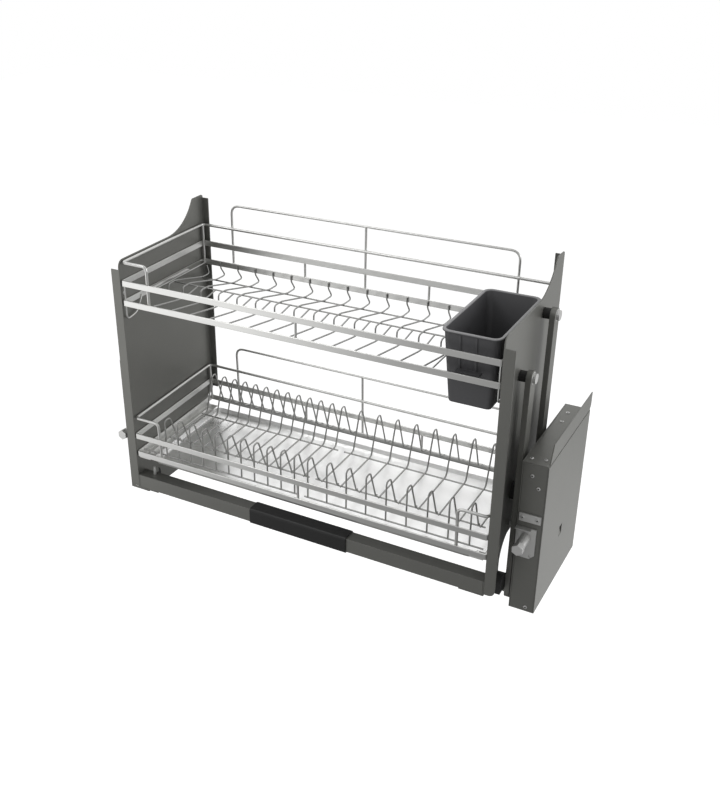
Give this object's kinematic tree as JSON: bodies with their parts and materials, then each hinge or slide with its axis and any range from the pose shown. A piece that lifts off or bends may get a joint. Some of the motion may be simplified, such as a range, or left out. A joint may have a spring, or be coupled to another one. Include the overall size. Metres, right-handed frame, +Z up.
{
  "type": "pull-down dish rack",
  "caption": "Two-tier wire dish rack for a wall cabinet, on parallel arms from two spring housings, with pull handle, plate rack, bowl rack, drip tray and cutlery bin.",
  "frame": {"origin": "under the middle of the whole rack in its raised position, on the level of the housings' undersides", "axes": "+X to the right as seen from the front, +Y towards the back of the cabinet, +Z up"},
  "size_m": [0.852, 0.292, 0.5685],
  "materials": {
    "graphite_paint": "semi-gloss metallic powder coat",
    "satin_steel": "satin stainless steel",
    "bright_wire": "electropolished stainless wire",
    "polished_steel": "polished stainless sheet",
    "zinc_steel": "zinc plated steel",
    "spring_steel": "oiled spring steel",
    "grey_plastic": "fine texture",
    "black_plastic": "matte",
    "black_rubber": "matte"
  },
  "bodies": {
    "housings": {"left_housing_shell": "graphite_paint", "left_housing_cover": "graphite_paint", "left_stop_plate": "zinc_steel", "left_adjuster_plate": "zinc_steel", "left_spring_lever": "zinc_steel", "left_torsion_spring": "spring_steel", "left_rotary_damper": "black_plastic", "left_front_bush": "black_plastic", "left_rear_bush": "black_plastic", "right_housing_shell": "graphite_paint", "right_housing_cover": "graphite_paint", "right_stop_plate": "zinc_steel", "right_adjuster_plate": "zinc_steel", "right_spring_lever": "zinc_steel", "right_torsion_spring": "spring_steel", "right_rotary_damper": "black_plastic", "right_front_bush": "black_plastic", "right_rear_bush": "black_plastic"},
    "carriage": {"handle_bar": "graphite_paint", "handle_grip": "black_plastic", "upper_basket_frame": "satin_steel", "bowl_rack": "bright_wire", "lower_basket_frame": "satin_steel", "plate_rack_narrow": "bright_wire", "plate_rack_wide": "bright_wire", "left_side_plate": "graphite_paint", "left_handle_saddle": "graphite_paint", "left_upper_tray_rail": "satin_steel", "left_lower_tray_rail": "satin_steel", "left_stop_block": "black_rubber", "left_bumper": "black_rubber", "left_guide_stud": "zinc_steel", "left_front_spacer": "black_plastic", "left_rear_spacer": "black_plastic", "left_front_pivot_bolt": "zinc_steel", "left_rear_pivot_bolt": "zinc_steel", "right_side_plate": "graphite_paint", "right_handle_saddle": "graphite_paint", "right_upper_tray_rail": "satin_steel", "right_lower_tray_rail": "satin_steel", "right_stop_block": "black_rubber", "right_bumper": "black_rubber", "right_guide_stud": "zinc_steel", "right_front_spacer": "black_plastic", "right_rear_spacer": "black_plastic", "right_front_pivot_bolt": "zinc_steel", "right_rear_pivot_bolt": "zinc_steel"},
    "drip_tray": {"drip_tray": "polished_steel"},
    "cutlery_bin": {"cutlery_bin": "grey_plastic"},
    "left_adjuster_screw": {"left_adjuster_screw": "zinc_steel"},
    "left_front_arm": {"left_front_arm": "graphite_paint", "left_front_shaft": "zinc_steel"},
    "left_rear_arm": {"left_rear_arm": "graphite_paint", "left_rear_shaft": "zinc_steel"},
    "right_adjuster_screw": {"right_adjuster_screw": "zinc_steel"},
    "right_front_arm": {"right_front_arm": "graphite_paint", "right_front_shaft": "zinc_steel"},
    "right_rear_arm": {"right_rear_arm": "graphite_paint", "right_rear_shaft": "zinc_steel"}
  },
  "joints": [
    {"name": "right_front_arm_swing", "type": "hinge", "parent": "housings", "child": "right_front_arm", "pos_m": [0.3745, -0.06605, 0.019], "axis": [1, 0, 0], "range_deg": [0, 95]},
    {"name": "right_rear_arm_swing", "type": "hinge", "parent": "housings", "child": "right_rear_arm", "pos_m": [0.3745, 0.03095, 0.089], "axis": [1, 0, 0], "range_deg": [0, 95]},
    {"name": "left_front_arm_swing", "type": "hinge", "parent": "housings", "child": "left_front_arm", "pos_m": [-0.3745, -0.06605, 0.019], "axis": [1, 0, 0], "range_deg": [0, 95]},
    {"name": "left_rear_arm_swing", "type": "hinge", "parent": "housings", "child": "left_rear_arm", "pos_m": [-0.3745, 0.03095, 0.089], "axis": [1, 0, 0], "range_deg": [0, 95]},
    {"name": "carriage_level", "type": "hinge", "parent": "right_front_arm", "child": "carriage", "pos_m": [0.3745, -0.05905, 0.421], "axis": [1, 0, 0], "range_deg": [-95, 0]},
    {"name": "cutlery_bin_lift", "type": "slide", "parent": "carriage", "child": "cutlery_bin", "axis": [0, 0, 1], "range_m": [0, 0.15]},
    {"name": "drip_tray_slide", "type": "slide", "parent": "carriage", "child": "drip_tray", "axis": [0, -0.9994, -0.0349], "range_m": [0, 0.22]},
    {"name": "left_adjuster_turn", "type": "hinge", "parent": "housings", "child": "left_adjuster_screw", "pos_m": [-0.4, -0.10305, 0.148], "axis": [0, 1, 0], "continuous": true},
    {"name": "right_adjuster_turn", "type": "hinge", "parent": "housings", "child": "right_adjuster_screw", "pos_m": [0.4, -0.10305, 0.148], "axis": [0, 1, 0], "continuous": true}
  ],
  "couplings": [
    {"joint": "right_rear_arm_swing", "follows": "right_front_arm_swing", "ratio": 1},
    {"joint": "left_front_arm_swing", "follows": "right_front_arm_swing", "ratio": 1},
    {"joint": "left_rear_arm_swing", "follows": "right_front_arm_swing", "ratio": 1},
    {"joint": "carriage_level", "follows": "right_front_arm_swing", "ratio": -1}
  ]
}
